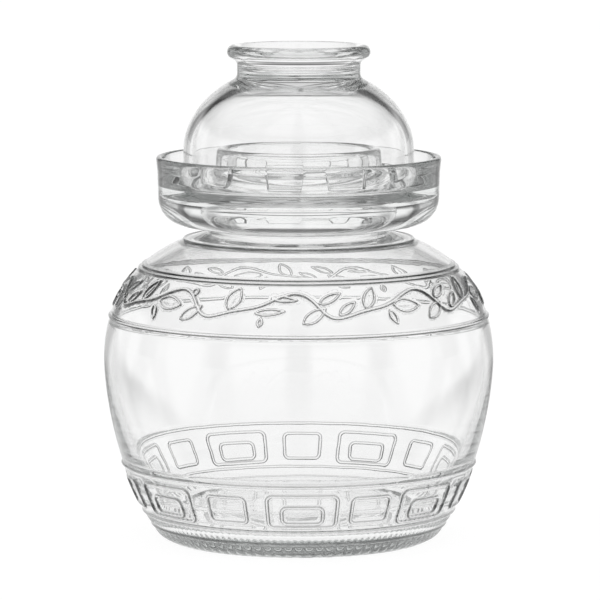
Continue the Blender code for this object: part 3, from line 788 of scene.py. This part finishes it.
def round_the_set(tree, parts, wave, count, edge, least):
    """A grey that goes up and down a number of times round the set, from its least to 1."""
    turn = add_node(tree, "ShaderNodeMath", {"operation": "ARCTAN2"},
                    {0: parts.outputs["X"], 1: parts.outputs["Y"]}).outputs[0]
    waves = add_node(tree, "ShaderNodeMath", {"operation": "MULTIPLY"}, {0: turn, 1: count}).outputs[0]
    swing = add_node(tree, "ShaderNodeMath", {"operation": wave}, {0: waves}).outputs[0]
    return add_node(tree, "ShaderNodeMapRange", {"interpolation_type": "SMOOTHSTEP"},
                    {"Value": swing, "From Min": edge[0], "From Max": edge[1],
                     "To Min": least, "To Max": 1.0}).outputs["Result"]


def surround(tree, parts):
    """Brightness of the cards round the set, for light that bounces about inside the glass."""
    ramp = grey_ramp(tree, height_level(tree, parts), CARDS)
    cards = round_the_set(tree, parts, "SINE", CARD_WAVES, CARD_EDGE, BETWEEN_CARDS)
    return add_node(tree, "ShaderNodeMath", {"operation": "MULTIPLY"}, {0: ramp, 1: cards}).outputs[0]


def white_windows(tree, parts):
    """White in the windows round the set, and grey card between them."""
    return round_the_set(tree, parts, "COSINE", WINDOWS, WINDOW_EDGE, BETWEEN_WINDOWS)


def seen(tree, directly, through_glass, after_bounce):
    """Picks a brightness: seen directly, through clear glass, or by light that has bounced inside glass."""
    path = add_node(tree, "ShaderNodeLightPath")
    bounced = add_node(tree, "ShaderNodeMath", {"operation": "GREATER_THAN"},
                       {0: path.outputs["Glossy Depth"], 1: BOUNCES}).outputs[0]
    glass = add_node(tree, "ShaderNodeMix", {"data_type": "FLOAT"},
                     {0: bounced, 2: through_glass, 3: after_bounce}).outputs[0]
    direct = add_node(tree, "ShaderNodeMath", {"operation": "MAXIMUM"},
                      {0: path.outputs["Is Camera Ray"], 1: path.outputs["Is Diffuse Ray"]}).outputs[0]
    return add_node(tree, "ShaderNodeMix", {"data_type": "FLOAT"},
                    {0: direct, 2: glass, 3: directly}).outputs[0]


def make_world():
    world = bpy.data.worlds.new("studio")
    bpy.context.scene.world = world
    world.use_nodes = True
    tree = world.node_tree
    background = tree.nodes["Background"]
    direction = add_node(tree, "ShaderNodeTexCoord").outputs["Generated"]
    parts = add_node(tree, "ShaderNodeSeparateXYZ", inputs={"Vector": direction})
    backdrop = grey_ramp(tree, height_level(tree, parts), BACKDROP)
    clear = add_node(tree, "ShaderNodeMath", {"operation": "MULTIPLY"},
                     {0: white_windows(tree, parts), 1: backdrop}).outputs[0]
    tree.links.new(seen(tree, 1.0, clear, surround(tree, parts)), background.inputs["Color"])


def make_floor():
    shape = bmesh.new()
    bmesh.ops.create_circle(shape, cap_ends=True, segments=FLOOR_SIDES, radius=FLOOR_REACH)
    mesh = bpy.data.meshes.new("floor")
    shape.to_mesh(mesh)
    shape.free()
    floor = bpy.data.objects.new("floor", mesh)
    bpy.context.scene.collection.objects.link(floor)
    material = bpy.data.materials.new("matt_white_paper")
    material.use_nodes = True
    tree = material.node_tree
    tree.nodes.clear()
    output = add_node(tree, "ShaderNodeOutputMaterial")
    place = add_node(tree, "ShaderNodeTexCoord").outputs["Object"]
    parts = add_node(tree, "ShaderNodeSeparateXYZ", inputs={"Vector": place})
    far = add_node(tree, "ShaderNodeVectorMath", {"operation": "LENGTH"}, {0: place}).outputs["Value"]
    share = add_node(tree, "ShaderNodeMapRange", {"interpolation_type": "SMOOTHSTEP"},
                     {"Value": far, "From Min": FLOOR_WINDOWS_FROM, "From Max": FLOOR_WINDOWS_TO,
                      "To Min": 0.0, "To Max": FLOOR_WINDOWS_SHARE}).outputs["Result"]
    clear = add_node(tree, "ShaderNodeMix", {"data_type": "FLOAT"},
                     {0: share, 2: 1.0, 3: white_windows(tree, parts)}).outputs[0]
    clear = add_node(tree, "ShaderNodeMath", {"operation": "MULTIPLY"},
                     {0: clear, 1: FLOOR_THROUGH_GLASS}).outputs[0]
    strength = seen(tree, FLOOR_GLOW, clear, grey_ramp(tree, far, UNDER))
    glow = add_node(tree, "ShaderNodeEmission", inputs={"Color": linear("#FFFFFF"), "Strength": strength})
    paper = add_node(tree, "ShaderNodeBsdfDiffuse",
                     inputs={"Color": (FLOOR_MATT, FLOOR_MATT, FLOOR_MATT, 1.0)})
    both = add_node(tree, "ShaderNodeAddShader")
    tree.links.new(glow.outputs[0], both.inputs[0])
    tree.links.new(paper.outputs[0], both.inputs[1])
    tree.links.new(both.outputs[0], output.inputs["Surface"])
    mesh.materials.append(material)


def make_camera():
    pitch = math.atan2(CAMERA_HEIGHT - AIM_HEIGHT, CAMERA_DISTANCE)
    focal_pixels = math.hypot(CAMERA_DISTANCE, CAMERA_HEIGHT - AIM_HEIGHT) / METRES_PER_PIXEL
    data = bpy.data.cameras.new("camera")
    data.sensor_width = SENSOR_WIDTH
    data.lens = focal_pixels / IMAGE_WIDTH * SENSOR_WIDTH
    data.shift_x = (IMAGE_WIDTH / 2 - AXIS_COLUMN) / IMAGE_WIDTH
    data.clip_end = FLOOR_REACH * 2
    camera = bpy.data.objects.new("camera", data)
    camera.location = (0.0, -CAMERA_DISTANCE, CAMERA_HEIGHT)
    camera.rotation_euler = (math.pi / 2 - pitch, 0.0, 0.0)
    bpy.context.scene.collection.objects.link(camera)
    bpy.context.scene.camera = camera


def make_jar():
    shape = turned(jar_outline(), JAR_STEPS)
    refine_bands(shape)
    press_ornament(shape)
    glass = soda_lime_glass("moulded_soda_lime_glass_with_painted_shade", JAR_RIPPLE)
    finish_piece("glass_jar", shape, glass, "jar", "jar")


def make_lid():
    shape = turned(lid_outline(), LID_STEPS)
    cut_notches(shape)
    glass = soda_lime_glass("pressed_soda_lime_glass", LID_RIPPLE)
    finish_piece("glass_lid", shape, glass, "lid", "lid")


make_camera()
make_world()
make_floor()
make_jar()
make_lid()

scene = bpy.context.scene
scene.view_settings.view_transform = "Standard"
scene.cycles.max_bounces = 32
scene.cycles.transmission_bounces = 32
scene.cycles.glossy_bounces = 24
scene.cycles.transparent_max_bounces = 16
